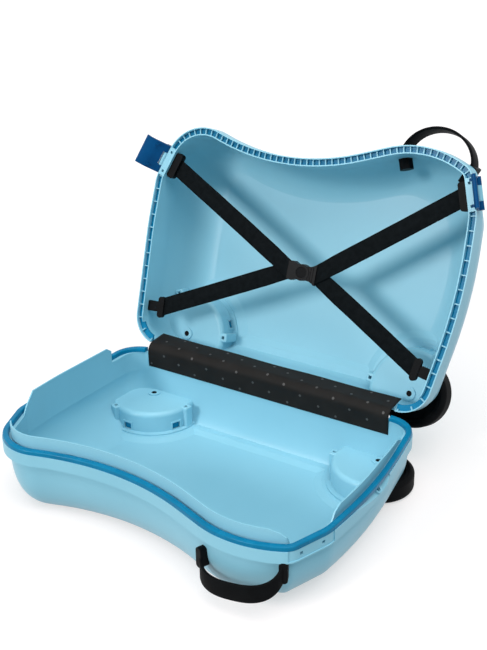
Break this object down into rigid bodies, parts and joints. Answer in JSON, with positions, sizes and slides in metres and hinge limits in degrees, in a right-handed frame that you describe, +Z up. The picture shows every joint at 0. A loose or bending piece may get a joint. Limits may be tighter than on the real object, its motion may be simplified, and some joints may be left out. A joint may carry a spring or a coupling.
{
  "type": "ride-on suitcase",
  "caption": "Hard-shell ride-on suitcase lying open on its base: saddle-shaped halves on a hinge, wheels in drums, snap latches, crossed straps with a buckle and carrying handles.",
  "frame": {"origin": "centre of the base's flat resting face, on the floor", "axes": "+X along the hinge towards the front end, +Y from the saddle side to the hinge, +Z up"},
  "size_m": [0.5342, 0.5594, 0.4452],
  "materials": {
    "shell": "light blue moulded polypropylene, fine grain",
    "seal": "dark blue bead",
    "lever": "dark blue moulding",
    "fitting": "black moulding",
    "tread": "black soft tread",
    "webbing": "black woven webbing",
    "handle": "black soft moulded strap",
    "cover": "black sheet with small grey dots",
    "steel": "steel pin"
  },
  "bodies": {
    "base": {"base_axle_caps": "fitting", "base_front_wheel_axle": "steel", "base_front_wheel_housing": "seal", "base_handle_clips": "fitting", "base_handle_lugs": "fitting", "base_handle_strap": "handle", "base_rear_wheel_axle": "steel", "base_rear_wheel_housing": "seal", "base_seal": "seal", "base_shell": "shell", "hinge_cover": "cover", "hinge_pins": "steel"},
    "lid": {"buckle_plug": "fitting", "buckle_socket": "fitting", "latch_pin_front": "steel", "latch_pin_rear": "steel", "lid_axle_caps": "fitting", "lid_front_wheel_axle": "steel", "lid_front_wheel_housing": "seal", "lid_handle_clips": "fitting", "lid_handle_lugs": "fitting", "lid_handle_strap": "handle", "lid_rear_wheel_axle": "steel", "lid_rear_wheel_housing": "seal", "lid_seal": "seal", "lid_shell": "shell", "strap_anchor_front": "fitting", "strap_anchor_rear": "fitting", "strap_hook_front": "fitting", "strap_hook_rear": "fitting", "strap_lower_front": "webbing", "strap_lower_rear": "webbing", "strap_slider_front": "fitting", "strap_slider_rear": "fitting", "strap_upper_front": "webbing", "strap_upper_rear": "webbing"},
    "base_front_wheel": {"base_front_wheel_core": "fitting", "base_front_wheel_tread": "tread"},
    "base_rear_wheel": {"base_rear_wheel_core": "fitting", "base_rear_wheel_tread": "tread"},
    "lid_front_wheel": {"lid_front_wheel_core": "fitting", "lid_front_wheel_tread": "tread"},
    "lid_rear_wheel": {"lid_rear_wheel_core": "fitting", "lid_rear_wheel_tread": "tread"},
    "latch_front": {"latch_lever_front": "lever"},
    "latch_rear": {"latch_lever_rear": "lever"},
    "buckle_release": {"buckle_button": "fitting"}
  },
  "joints": [
    {"name": "lid_hinge", "type": "hinge", "parent": "base", "child": "lid", "pos_m": [0, 0.175, 0.104], "axis": [1, 0, 0], "range_deg": [0, 110.9], "deforming": ["hinge_cover"]},
    {"name": "base_front_wheel_spin", "type": "hinge", "parent": "base", "child": "base_front_wheel", "pos_m": [0.18, 0.155, 0.016], "axis": [0, 0, 1], "continuous": true},
    {"name": "base_rear_wheel_spin", "type": "hinge", "parent": "base", "child": "base_rear_wheel", "pos_m": [-0.187, 0.155, 0.016], "axis": [0, 0, 1], "continuous": true},
    {"name": "lid_front_wheel_spin", "type": "hinge", "parent": "lid", "child": "lid_front_wheel", "pos_m": [0.18, 0.26434, 0.09129], "axis": [0, -0.9342, 0.3567], "continuous": true},
    {"name": "lid_rear_wheel_spin", "type": "hinge", "parent": "lid", "child": "lid_rear_wheel", "pos_m": [-0.187, 0.26434, 0.09129], "axis": [0, -0.9342, 0.3567], "continuous": true},
    {"name": "latch_front_swing", "type": "hinge", "parent": "lid", "child": "latch_front", "pos_m": [0.24283, 0.28617, 0.38391], "axis": [0.3295, -0.3368, -0.882], "range_deg": [-100, 8]},
    {"name": "latch_rear_swing", "type": "hinge", "parent": "lid", "child": "latch_rear", "pos_m": [-0.24179, 0.27533, 0.35552], "axis": [0.3422, 0.3352, 0.8778], "range_deg": [-60, 48]},
    {"name": "buckle_press", "type": "slide", "parent": "lid", "child": "buckle_release", "axis": [0, 0.9342, -0.3567], "range_m": [0, 0.002], "stiffness_N_per_m": 800}
  ]
}
